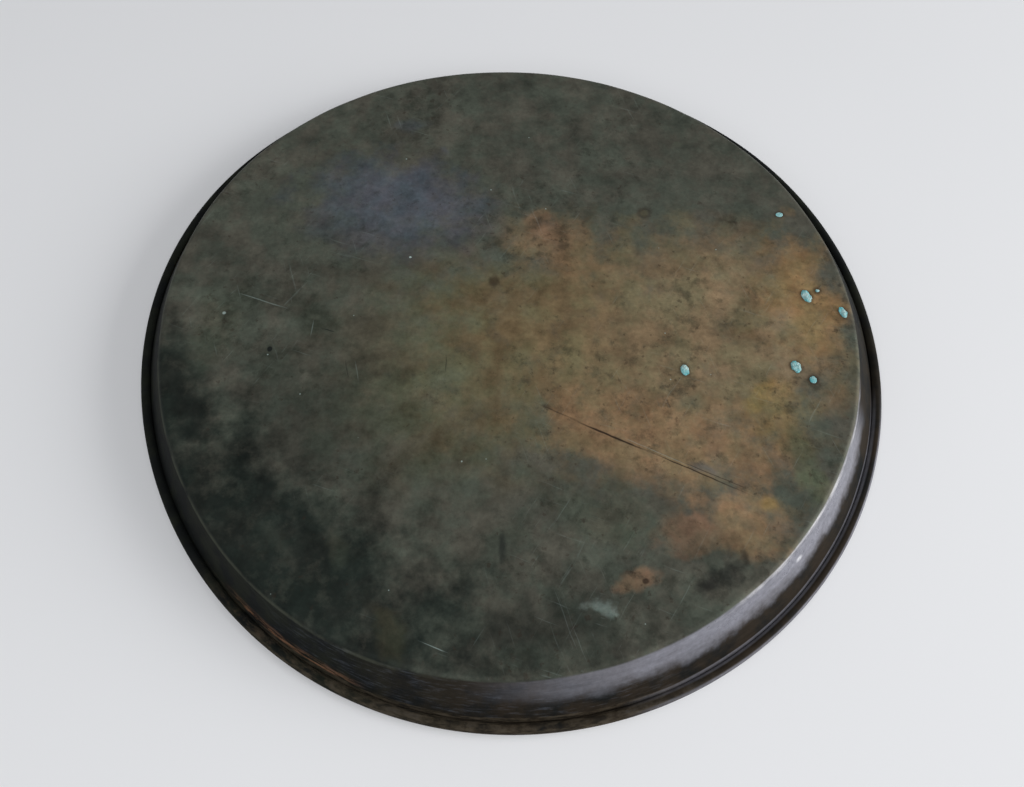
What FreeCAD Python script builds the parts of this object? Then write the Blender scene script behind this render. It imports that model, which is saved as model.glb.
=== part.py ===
import FreeCAD, Part
import math
import os

import Sketcher

# Round baking tray of tinned copper, upside down on its wired rim, as it is put away to dry.
#
# One disc of copper sheet is raised into a flat base and a low sloping wall. The wall's edge
# is rolled outwards round an iron wire, and its cut edge comes back up to the wall, where it
# leaves the narrow seam that runs all round above the rim. The food side is wiped with tin.
#
# Units are millimetres. Z is the tray's own axis. The origin is the centre of the circle on
# which the rim rests, and +Z leaves the outer face of the base.

# Driving sizes: name, value, what it measures.
SIZES = [
    ("RimDiameter", 430.0, "over the rolled rim"),
    ("TrayHeight", 26.0, "from the resting plane to the outer face of the base"),
    ("SheetThickness", 1.0, "copper sheet, base, wall and curl alike"),
    ("CornerRadius", 4.0, "outer round between base and wall"),
    ("WallSlope", 56.0, "degrees between the wall and the resting plane"),
    ("FlareRadius", 24.0, "hollow curve of the outer face at the foot of the wall"),
    ("FlareTurn", 8.0, "degrees by which that curve lays the wall over before the curl"),
    ("WireDiameter", 3.5, "iron wire, which fills the curl"),
    ("WireButtGap", 1.0, "space left between the two ends of the wire"),
    ("CurlGap", 0.4, "seam between the cut edge of the curl and the wall"),
    ("TinThickness", 0.3, "wiped tin on the food side"),
]

# Expressions for the lengths that more than one sketch needs.
WIRE_RADIUS = "Sizes.WireDiameter / 2"
BEAD_RADIUS = f"({WIRE_RADIUS} + Sizes.SheetThickness)"
WIRE_CENTRE_X = f"Sizes.RimDiameter / 2 - {BEAD_RADIUS}"
INNER_DEPTH = "Sizes.SheetThickness"
TINNED_DEPTH = "Sizes.SheetThickness + Sizes.TinThickness"

# Numbers that Sketcher gives to the points of a piece of geometry and to the sketch's axes.
START, END, CENTRE = 1, 2, 3
ORIGIN = (-1, START)
AXIS_LINE = -2


def add_sheet(doc):
    """Writes the driving sizes into a spreadsheet, each under its own name."""
    sheet = doc.addObject("Spreadsheet::Sheet", "Sizes")
    for row, (name, value, meaning) in enumerate(SIZES, start=1):
        sheet.set(f"A{row}", name)
        sheet.set(f"B{row}", str(value))
        sheet.set(f"C{row}", meaning)
        sheet.setAlias(f"B{row}", name)
    doc.recompute()
    return sheet


def polar(angle, length=1.0):
    """A vector in the sketch plane, from its angle in degrees and its length."""
    turn = math.radians(angle)
    return FreeCAD.Vector(length * math.cos(turn), length * math.sin(turn), 0)


class Section:
    """Centres and slopes of the sheet's section, where the sketches are first laid out.

    A skin is the line of the section at some depth below the outer face of the sheet. All
    skins share the centre of the corner, the centre of the flare and that of the wire.
    """

    def __init__(self, sheet):
        self.height = sheet.TrayHeight
        self.corner_radius = sheet.CornerRadius
        self.flare_radius = sheet.FlareRadius
        self.wall_slope = sheet.WallSlope
        self.lip_slope = sheet.WallSlope - sheet.FlareTurn
        self.wire_radius = sheet.WireDiameter / 2
        self.bead_radius = self.wire_radius + sheet.SheetThickness
        self.wire_centre = FreeCAD.Vector(sheet.RimDiameter / 2 - self.bead_radius, self.bead_radius, 0)
        reach = self.flare_radius - self.wire_radius
        self.flare_centre = self.wire_centre + polar(90 - self.lip_slope, reach)
        foot = self.flare_centre + polar(270 - self.wall_slope, self.flare_radius)
        rise = self.height - foot.y
        edge_x = foot.x - rise / math.tan(math.radians(self.wall_slope))
        inset = self.corner_radius * math.tan(math.radians(self.wall_slope / 2))
        self.corner_centre = FreeCAD.Vector(edge_x - inset, self.height - self.corner_radius, 0)
        self.curl_end = self.seam_angle(sheet.CurlGap)

    def seam_angle(self, gap):
        """Angle round the wire at which the curl stops, one gap short of the wall.

        The cut edge, the wire's centre and the flare's centre are the corners of a triangle
        with three known sides, and the curl stops at its corner at the wire.
        """
        reach = self.flare_radius - self.wire_radius
        stop = self.flare_radius - gap
        cosine = (reach**2 + self.bead_radius**2 - stop**2) / (2 * reach * self.bead_radius)
        return 90 - self.lip_slope + math.degrees(math.acos(cosine))


class Outline:
    """Geometry of one sketch, with each size bound to the spreadsheet as it is drawn."""

    def __init__(self, body, name, section):
        self.section = section
        self.sketch = body.newObject("Sketcher::SketchObject", name)
        plane = next(item for item in body.Origin.OriginFeatures if item.Role == "XZ_Plane")
        self.sketch.AttachmentSupport = [(plane, "")]
        self.sketch.MapMode = "FlatFace"

    def line(self, start, end, construction=False):
        """Adds a line and returns its number."""
        return self.sketch.addGeometry(Part.LineSegment(start, end), construction)

    def arc(self, centre, radius, first, last, construction=False):
        """Adds a counter-clockwise arc between two angles in degrees and returns its number."""
        circle = Part.Circle(centre, FreeCAD.Vector(0, 0, 1), radius)
        shape = Part.ArcOfCircle(circle, math.radians(first), math.radians(last))
        return self.sketch.addGeometry(shape, construction)

    def tie(self, kind, *arguments):
        """Adds a constraint that has no size."""
        self.sketch.addConstraint(Sketcher.Constraint(kind, *arguments))

    def join(self, first, second):
        """Puts two points on each other, each given as geometry number and point number."""
        self.tie("Coincident", *first, *second)

    def smooth(self, first, second):
        """Joins two ends so that one piece of geometry runs on from the other."""
        self.tie("Tangent", *first, *second)

    def bind(self, kind, arguments, value, expression):
        """Adds a constraint with a size that follows an expression on the spreadsheet."""
        index = self.sketch.addConstraint(Sketcher.Constraint(kind, *arguments, value))
        self.sketch.setExpression(f"Constraints[{index}]", expression)

    def add_lip_line(self):
        """Adds the construction line from the wire's centre to the flare's centre."""
        section = self.section
        self.lip = self.line(section.wire_centre, section.flare_centre, construction=True)
        wire = (self.lip, START)
        self.bind("DistanceX", (*ORIGIN, *wire), section.wire_centre.x, WIRE_CENTRE_X)
        self.bind("DistanceY", (*ORIGIN, *wire), section.wire_centre.y, BEAD_RADIUS)
        reach = section.flare_radius - section.wire_radius
        self.bind("Distance", (self.lip,), reach, f"Sizes.FlareRadius - {WIRE_RADIUS}")
        lean = "(90 - Sizes.WallSlope + Sizes.FlareTurn) * 1 deg"
        self.bind("Angle", (self.lip,), math.radians(90 - section.lip_slope), lean)

    def add_skin(self, depth, depth_expression, construction=False):
        """Adds floor, corner, wall and flare at one depth below the sheet's outer face.

        The first skin of a sketch is the outer face itself: it takes the corner's radius and
        the wall's slope. The later ones share its centres.
        """
        section = self.section
        level = section.height - depth
        edge = section.corner_radius - depth
        bow = section.flare_radius + depth
        wall_top = section.corner_centre + polar(90 - section.wall_slope, edge)
        wall_foot = section.flare_centre + polar(270 - section.wall_slope, bow)
        floor_end = FreeCAD.Vector(section.corner_centre.x, level, 0)
        floor = self.line(FreeCAD.Vector(0, level, 0), floor_end, construction)
        corner = self.arc(section.corner_centre, edge, 90 - section.wall_slope, 90, construction)
        wall = self.line(wall_foot, wall_top, construction)
        slopes = (270 - section.wall_slope, 270 - section.lip_slope)
        flare = self.arc(section.flare_centre, bow, *slopes, construction)

        self.tie("Horizontal", floor)
        self.tie("PointOnObject", floor, START, AXIS_LINE)
        self.smooth((floor, END), (corner, END))
        self.smooth((corner, START), (wall, END))
        self.smooth((wall, START), (flare, START))
        self.join((flare, CENTRE), (self.lip, END))
        self.tie("PointOnObject", flare, END, self.lip)
        drop = f"Sizes.TrayHeight - ({depth_expression})"
        self.bind("DistanceY", (*ORIGIN, floor, START), level, drop)
        self.bind("Radius", (flare,), bow, f"Sizes.FlareRadius + {depth_expression}")
        if depth == 0:
            self.outer_corner = corner
            self.bind("Radius", (corner,), edge, "Sizes.CornerRadius")
            rise = math.radians(180 - section.wall_slope)
            self.bind("Angle", (wall,), rise, "(180 - Sizes.WallSlope) * 1 deg")
        else:
            self.join((corner, CENTRE), (self.outer_corner, CENTRE))
        return floor, flare

    def close_at_axis(self, upper_floor, lower_floor):
        """Joins two floor lines along the tray's axis."""
        top = self.sketch.getPoint(upper_floor, START)
        bottom = self.sketch.getPoint(lower_floor, START)
        edge = self.line(bottom, top)
        self.join((edge, START), (lower_floor, START))
        self.join((edge, END), (upper_floor, START))

    def close_at_lip(self, upper_flare, lower_flare):
        """Joins the feet of two flares straight across."""
        edge = self.line(self.sketch.getPoint(upper_flare, END), self.sketch.getPoint(lower_flare, END))
        self.join((edge, START), (upper_flare, END))
        self.join((edge, END), (lower_flare, END))

    def close_round_wire(self, upper_flare, lower_flare):
        """Rolls both skins round the wire and ends them in a cut edge, just short of the wall."""
        section = self.section
        turn = (270 - section.lip_slope, 360 + section.curl_end)
        inside = self.arc(section.wire_centre, section.wire_radius, *turn)
        outside = self.arc(section.wire_centre, section.bead_radius, *turn)
        inner_point = section.wire_centre + polar(section.curl_end, section.wire_radius)
        outer_point = section.wire_centre + polar(section.curl_end, section.bead_radius)
        cut = self.line(inner_point, outer_point)
        seam = self.line(section.flare_centre, outer_point, construction=True)
        for roll, skin in ((inside, upper_flare), (outside, lower_flare)):
            self.join((roll, CENTRE), (self.lip, START))
            self.join((roll, START), (skin, END))
        self.join((cut, START), (inside, END))
        self.join((cut, END), (outside, END))
        self.tie("PointOnObject", self.lip, START, cut)
        self.join((seam, START), (self.lip, END))
        self.join((seam, END), (cut, END))
        stop = section.flare_centre.distanceToPoint(outer_point)
        self.bind("Distance", (seam,), stop, "Sizes.FlareRadius - Sizes.CurlGap")


def add_body(doc, label):
    """Adds an empty body that carries the name of its piece."""
    body = doc.addObject("PartDesign::Body", label)
    body.Label = label
    return body


def revolve(body, outline, name):
    """Turns a closed outline once round the tray's axis."""
    turned = body.newObject("PartDesign::Revolution", name)
    turned.Profile = outline.sketch
    turned.ReferenceAxis = (outline.sketch, ["V_Axis"])
    turned.Angle = 360
    return turned


def add_copper_pan(doc, sheet, section):
    """The sheet itself: base, corner, wall and the curl that holds the wire."""
    body = add_body(doc, "copper_pan")
    outline = Outline(body, "SheetSection", section)
    outline.add_lip_line()
    outer_floor, outer_flare = outline.add_skin(0, "0")
    inner_floor, inner_flare = outline.add_skin(sheet.SheetThickness, INNER_DEPTH)
    outline.close_at_axis(outer_floor, inner_floor)
    outline.close_round_wire(outer_flare, inner_flare)
    revolve(body, outline, "RaisedSheet")
    return body


def add_tin_lining(doc, sheet, section):
    """The wiped tin on the food side, from the middle of the base to where the curl starts."""
    body = add_body(doc, "tin_lining")
    outline = Outline(body, "TinSection", section)
    outline.add_lip_line()
    outline.add_skin(0, "0", construction=True)
    back_floor, back_flare = outline.add_skin(sheet.SheetThickness, INNER_DEPTH)
    tinned_depth = sheet.SheetThickness + sheet.TinThickness
    face_floor, face_flare = outline.add_skin(tinned_depth, TINNED_DEPTH)
    outline.close_at_axis(back_floor, face_floor)
    outline.close_at_lip(back_flare, face_flare)
    revolve(body, outline, "WipedTin")
    return body


def add_rim_wire(doc, section):
    """The iron wire, bent into a ring whose two ends butt at the back of the tray."""
    body = add_body(doc, "rim_wire")
    outline = Outline(body, "WireSection", section)
    normal = FreeCAD.Vector(0, 0, 1)
    wire = outline.sketch.addGeometry(Part.Circle(section.wire_centre, normal, section.wire_radius))
    outline.bind("DistanceX", (*ORIGIN, wire, CENTRE), section.wire_centre.x, WIRE_CENTRE_X)
    outline.bind("DistanceY", (*ORIGIN, wire, CENTRE), section.wire_centre.y, BEAD_RADIUS)
    outline.bind("Radius", (wire,), section.wire_radius, WIRE_RADIUS)
    ring = revolve(body, outline, "BentWire")
    missing = f"Sizes.WireButtGap / ({WIRE_CENTRE_X}) * 180 / pi"
    ring.setExpression("Angle", f"(360 - {missing}) * 1 deg")
    body.Placement.Rotation = FreeCAD.Rotation(FreeCAD.Vector(0, 0, 1), 90)
    return body


def check(doc, pieces):
    """Stops if any object failed to build or any piece isn't one sound solid."""
    for item in doc.Objects:
        if "Invalid" in item.State or "Error" in item.State:
            raise RuntimeError(f"{item.Label} failed: {item.State}")
    for sketch in doc.findObjects("Sketcher::SketchObject"):
        if sketch.solve() != 0:
            raise RuntimeError(f"{sketch.Label} can't be solved")
    for piece in pieces:
        if piece.Shape.isNull() or not piece.Shape.isValid() or len(piece.Shape.Solids) != 1:
            raise RuntimeError(f"{piece.Label} isn't one valid solid")


def main():
    """Builds the tray and writes each piece to its own file."""
    doc = FreeCAD.newDocument("BakingTray")
    sheet = add_sheet(doc)
    section = Section(sheet)
    pieces = [
        add_copper_pan(doc, sheet, section),
        add_rim_wire(doc, section),
        add_tin_lining(doc, sheet, section),
    ]
    doc.recompute()
    check(doc, pieces)
    os.makedirs("parts", exist_ok=True)
    for piece in pieces:
        piece.Shape.exportStep(f"parts/{piece.Label}.step")
        print(f"{piece.Label}: {piece.Shape.Volume:.1f} mm3")


main()
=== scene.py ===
"""Looks of an old round baking tray of tinned copper, put away upside down on its wired rim.

The tray is one sheet of copper with a flat base, a low sloping wall and an edge rolled round an
iron wire. Its outer face carries a patchy brown, green and orange patina, soot on the wall and a
few crusts of verdigris. The food side is wiped with tin. All lengths are in metres, in the frame
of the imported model: Z is the tray's axis, and the rim rests on Z = 0.
"""

import logging
import math
from collections.abc import Callable, Sequence
from dataclasses import dataclass, field
from enum import Enum
from typing import Any

import bmesh
import bpy
from mathutils import Matrix, Quaternion, Vector


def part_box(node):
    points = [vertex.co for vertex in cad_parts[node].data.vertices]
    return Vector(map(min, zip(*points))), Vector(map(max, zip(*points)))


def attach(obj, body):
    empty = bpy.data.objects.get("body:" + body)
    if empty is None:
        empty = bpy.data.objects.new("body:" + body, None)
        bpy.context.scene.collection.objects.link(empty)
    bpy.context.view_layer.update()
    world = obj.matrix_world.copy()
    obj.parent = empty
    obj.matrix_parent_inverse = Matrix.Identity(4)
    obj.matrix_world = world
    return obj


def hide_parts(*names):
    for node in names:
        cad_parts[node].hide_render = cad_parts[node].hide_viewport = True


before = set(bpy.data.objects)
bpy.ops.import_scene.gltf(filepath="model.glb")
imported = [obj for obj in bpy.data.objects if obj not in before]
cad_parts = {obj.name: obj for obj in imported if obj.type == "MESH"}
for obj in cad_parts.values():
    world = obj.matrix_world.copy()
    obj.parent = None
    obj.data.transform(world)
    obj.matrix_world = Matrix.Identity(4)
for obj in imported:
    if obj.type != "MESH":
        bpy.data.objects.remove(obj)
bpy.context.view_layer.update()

LOG = logging.getLogger("tray")
MM = 0.001
ROOT = "root"

# Vertices nearer than this are one vertex.
SEAM_GAP = 0.01 * MM

Colour = tuple[float, float, float]

# Two limits, such as where a smooth step starts and where it ends.
Span = tuple[float, float]


# ---------------------------------------------------------------------------------------------
# Workbench: the steps that every piece is made with
# ---------------------------------------------------------------------------------------------


def clear_selection() -> None:
    """Leaves nothing selected, so that the next operator acts only on what it adds."""
    bpy.ops.object.select_all(action="DESELECT")


def make_active(piece: bpy.types.Object) -> None:
    """Selects one piece alone and makes it the active one.

    Args:
        piece: The object that the next operators act on.
    """
    clear_selection()
    piece.select_set(True)
    bpy.context.view_layer.objects.active = piece


def apply_modifier(piece: bpy.types.Object, kind: str, **settings: Any) -> None:
    """Adds a modifier, sets it and applies it.

    Args:
        piece: The object that gets it.
        kind: Blender's name for the kind of modifier.
        **settings: The modifier's own settings.
    """
    make_active(piece)
    modifier = piece.modifiers.new(kind.title(), kind)
    for name, value in settings.items():
        setattr(modifier, name, value)
    bpy.ops.object.modifier_apply(modifier=modifier.name)


def select_vertices(piece: bpy.types.Object, test: Callable[[Vector], bool]) -> None:
    """Selects, in edit mode, the vertices whose place passes a test, and what they bound.

    Args:
        piece: The object in edit mode.
        test: Says of a place whether its vertex is wanted.
    """
    mesh = bmesh.from_edit_mesh(piece.data)
    mesh.select_mode = {"VERT"}
    for vertex in mesh.verts:
        vertex.select = test(vertex.co)
    mesh.select_flush_mode()
    bmesh.update_edit_mesh(piece.data)


def seed_point(name: str, place: Vector) -> bpy.types.Object:
    """Adds a mesh of a single vertex, in edit mode, from which an outline is drawn.

    Args:
        name: The name of the new piece.
        place: Where the vertex is.

    Returns:
        The new object, still in edit mode.
    """
    clear_selection()
    bpy.ops.mesh.primitive_plane_add(size=MM)
    piece = bpy.context.active_object
    piece.name = name
    piece.data.name = name
    bpy.ops.object.mode_set(mode="EDIT")
    bpy.ops.mesh.merge(type="CENTER")
    bpy.ops.transform.translate(value=place)
    return piece


def draw_straight(step: Vector, count: int) -> None:
    """Extrudes the selected end of an outline in equal steps.

    Args:
        step: The way and length of one step.
        count: The number of steps.
    """
    for _ in range(count):
        bpy.ops.mesh.extrude_region_move(TRANSFORM_OT_translate={"value": step})


def draw_arc(centre: Vector, turn: float, steps: int) -> None:
    """Spins the selected end of an outline in the XZ plane.

    Args:
        centre: The arc's centre.
        turn: Degrees, positive from +Z towards +X.
        steps: The number of straight pieces that stand for the arc.
    """
    bpy.ops.mesh.spin(steps=steps, angle=math.radians(turn), center=centre, axis=(0, -1, 0))


def close_turned_mesh(piece: bpy.types.Object) -> None:
    """Merges the seam and the pole of a turned mesh, turns its faces outwards, leaves edit mode.

    Args:
        piece: The object in edit mode.
    """
    bpy.ops.mesh.select_all(action="SELECT")
    bpy.ops.mesh.remove_doubles(threshold=SEAM_GAP)
    bpy.ops.mesh.normals_make_consistent(inside=False)
    bpy.ops.mesh.select_all(action="DESELECT")
    bpy.ops.object.mode_set(mode="OBJECT")


def smooth_faces(piece: bpy.types.Object, sharp_above: float = 40.0) -> None:
    """Shades a piece smooth, but keeps its sharp edges.

    Args:
        piece: The object to shade.
        sharp_above: Degrees between two faces past which their edge stays sharp.
    """
    make_active(piece)
    bpy.ops.object.shade_smooth_by_angle(angle=math.radians(sharp_above))


def dress(piece: bpy.types.Object, material: bpy.types.Material) -> None:
    """Gives a piece one finish all over.

    Args:
        piece: The object to dress.
        material: Its finish.
    """
    piece.data.materials.clear()
    piece.data.materials.append(material)


# ---------------------------------------------------------------------------------------------
# Shader desk: materials written as expressions
# ---------------------------------------------------------------------------------------------


class Port:
    """A shader socket that takes part in arithmetic."""

    def __init__(self, desk: "ShaderDesk", socket: bpy.types.NodeSocket) -> None:
        """Wraps one output socket of a desk's material."""
        self.desk = desk
        self.socket = socket

    def __add__(self, other: "Port | float") -> "Port":
        """This plus another."""
        return self.desk.maths("ADD", self, other)

    def __radd__(self, other: float) -> "Port":
        """A number plus this."""
        return self.desk.maths("ADD", other, self)

    def __sub__(self, other: "Port | float") -> "Port":
        """This less another."""
        return self.desk.maths("SUBTRACT", self, other)

    def __rsub__(self, other: float) -> "Port":
        """A number less this."""
        return self.desk.maths("SUBTRACT", other, self)

    def __mul__(self, other: "Port | float") -> "Port":
        """This times another."""
        return self.desk.maths("MULTIPLY", self, other)

    def at_least(self, other: "Port | float") -> "Port":
        """The greater of this and another."""
        return self.desk.maths("MAXIMUM", self, other)


Feed = Port | float | Sequence[float]


@dataclass(frozen=True)
class Cloud:
    """A kind of noise: its largest blotches in millimetres, its finer layers, their strength."""

    size: float
    detail: float
    rough: float


@dataclass(frozen=True)
class Wander:
    """Noise that moves a pattern about: its largest blotches and its reach, in millimetres."""

    size: float
    reach: float
    detail: float = 3.0


class ShaderDesk:
    """One material and the nodes that are laid out in it."""

    def __init__(self, name: str) -> None:
        """Starts an empty material.

        Args:
            name: The material's name.
        """
        self.material = bpy.data.materials.new(name)
        self.material.use_nodes = True
        self.tree = self.material.node_tree
        self.tree.nodes.clear()

    def node(
        self,
        kind: str,
        settings: dict[str, Any] | None = None,
        sockets: dict[str | int, Feed] | None = None,
        output: str | int = 0,
    ) -> Port:
        """Adds a node, sets it, then feeds its sockets.

        Args:
            kind: The node's type, without its leading "ShaderNode".
            settings: Its own settings.
            sockets: Values or ports by the input's name or number.
            output: The output that is wanted.

        Returns:
            The wanted output.
        """
        node = self.tree.nodes.new("ShaderNode" + kind)
        for name, value in (settings or {}).items():
            setattr(node, name, value)
        for name, value in (sockets or {}).items():
            self.feed(node.inputs[name], value)
        return Port(self, node.outputs[output])

    def feed(self, socket: bpy.types.NodeSocket, value: Feed) -> None:
        """Links a port to an input, or writes a plain value there.

        Args:
            socket: The input.
            value: The port, number, vector or colour.
        """
        if isinstance(value, Port):
            self.tree.links.new(value.socket, socket)
        elif socket.type == "RGBA" and len(value) == 3:
            socket.default_value = (*value, 1.0)
        else:
            socket.default_value = value

    def maths(self, operation: str, *values: Port | float) -> Port:
        """Adds one Math node and returns its result."""
        return self.node("Math", {"operation": operation}, dict(enumerate(values)))

    def vector(self, operation: str, *values: Feed, output: str | int = 0) -> Port:
        """Adds one Vector Math node and returns its result."""
        return self.node("VectorMath", {"operation": operation}, dict(enumerate(values)), output)

    def scaled(self, vector: Feed, factor: Port | float) -> Port:
        """A vector or colour times a number."""
        return self.node("VectorMath", {"operation": "SCALE"}, {0: vector, "Scale": factor})

    def mixed(self, factor: Port | float, low: Feed, high: Feed) -> Port:
        """A colour between two others, from low at factor 0 to high at 1."""
        return self.node("Mix", {"data_type": "RGBA"}, {0: factor, 6: low, 7: high}, 2)

    def between(self, factor: Port | float, low: Port | float, high: Port | float) -> Port:
        """A number between two others, from low at factor 0 to high at 1."""
        return self.node("Mix", {"data_type": "FLOAT"}, {0: factor, 2: low, 3: high})

    def step(self, value: Port, start: float, end: float) -> Port:
        """A smooth step from 0, where the value is start, to 1, where it is end."""
        limits = {"Value": value, "From Min": start, "From Max": end}
        return self.node("MapRange", {"interpolation_type": "SMOOTHSTEP"}, limits)

    def place(self) -> Port:
        """The point that is shaded, in the tray's own frame."""
        return self.node("TexCoord", output="Object")

    def noise(self, place: Port, cloud: Cloud) -> Port:
        """Cloudy noise about 0.5.

        Args:
            place: Where it is read.
            cloud: Its kind.

        Returns:
            The noise.
        """
        sockets = {
            "Vector": place,
            "Scale": 1 / (cloud.size * MM),
            "Detail": cloud.detail,
            "Roughness": cloud.rough,
        }
        return self.node("TexNoise", {}, sockets)

    def wandered(self, place: Port, wander: Wander) -> Port:
        """A place moved about by noise, so that what is laid out there gets ragged edges.

        Args:
            place: The place before.
            wander: The noise's size, and about how far it moves the place at most.

        Returns:
            The place after.
        """
        sockets = {"Vector": place, "Scale": 1 / (wander.size * MM), "Detail": wander.detail}
        cloud = self.node("TexNoise", {}, sockets, "Color")
        shift = self.vector("SUBTRACT", cloud, (0.5, 0.5, 0.5))
        return self.vector("ADD", place, self.scaled(shift, 2 * (wander.reach * MM)))

    def reach(self, place: Port, x: float, y: float, size: Sequence[float], turn: float) -> Port:
        """How far out a place is in an oval: 0 in its middle and 1 on its edge.

        Args:
            place: Where it is read.
            x: The oval's centre.
            y: The oval's centre.
            size: Its half width and half depth.
            turn: Degrees by which it is turned, counter-clockwise from above.

        Returns:
            The distance from the middle, in the oval's own measure.
        """
        sockets = {
            "Vector": place,
            "Location": (x, y, 0.0),
            "Rotation": (0.0, 0.0, math.radians(turn)),
            "Scale": (size[0], size[1], 1.0),
        }
        local = self.node("Mapping", {"vector_type": "TEXTURE"}, sockets)
        return self.vector("LENGTH", local, output="Value")

    def finish(
        self, surface: dict[str, Feed], height: Port | None = None, depth: float = 0.1 * MM
    ) -> bpy.types.Material:
        """Ends the material in one Principled shader.

        Args:
            surface: Values or ports by the shader's input names.
            height: What the bump follows.
            depth: The height that 1 stands for, in metres.

        Returns:
            The finished material.
        """
        sockets = dict(surface)
        if height is not None:
            relief = {"Height": height, "Distance": depth, "Strength": 1.0}
            sockets["Normal"] = self.node("Bump", {}, relief)
        shader = self.node("BsdfPrincipled", {}, sockets)
        output = self.tree.nodes.new("ShaderNodeOutputMaterial")
        self.feed(output.inputs["Surface"], shader)
        return self.material


# ---------------------------------------------------------------------------------------------
# The tray's form
# ---------------------------------------------------------------------------------------------


@dataclass(frozen=True)
class Wave:
    """One regular departure from round: so many bulges, how far, and where the first one is."""

    bulges: int
    reach: float
    bearing: float

    def at(self, bearing: float) -> float:
        """The departure at a bearing in radians."""
        return self.reach * math.cos(self.bulges * (bearing - math.radians(self.bearing)))


@dataclass(frozen=True)
class Handwork:
    """How the beaten tray departs from a true turned one: out of round, off centre, rim lifted."""

    rim: tuple[Wave, ...] = (
        Wave(2, 1.8 * MM, -48), Wave(3, 2.0 * MM, 30), Wave(4, 0.8 * MM, -32),
    )
    base: tuple[Wave, ...] = (
        Wave(2, 0.8 * MM, -43), Wave(3, 1.4 * MM, 21), Wave(4, 0.5 * MM, -24),
    )
    base_shift: tuple[float, float] = (-1.5 * MM, -0.2 * MM)
    rim_lift: Wave = Wave(3, 0.15 * MM, 75)
    corner_drop: float = 2 * MM

    def moved(self, place: Vector, bead_top: float, height: float, base_radius: float) -> Vector:
        """Where a point of the true tray lies on the beaten one.

        Args:
            place: The point of the true tray.
            bead_top: The height of the top of the rolled rim.
            height: The height of the base.
            base_radius: The radius of the base.

        Returns:
            The point of the beaten tray.
        """
        bearing = math.atan2(place.y, place.x)
        reach = math.hypot(place.x, place.y)
        rise = min(max((place.z - bead_top) / (height - self.corner_drop - bead_top), 0.0), 1.0)
        inward = min(reach / base_radius, 1.0) ** 2
        rim = sum(wave.at(bearing) for wave in self.rim)
        base = sum(wave.at(bearing) for wave in self.base) * inward
        stretch = rim + (base - rim) * rise
        lift = (self.rim_lift.at(bearing) + self.rim_lift.reach) * (1.0 - rise)
        outward = Vector((math.cos(bearing), math.sin(bearing), 0.0))
        shift = Vector((*self.base_shift, 0.0)) * rise
        return place + outward * stretch + shift + Vector((0.0, 0.0, lift))


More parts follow.
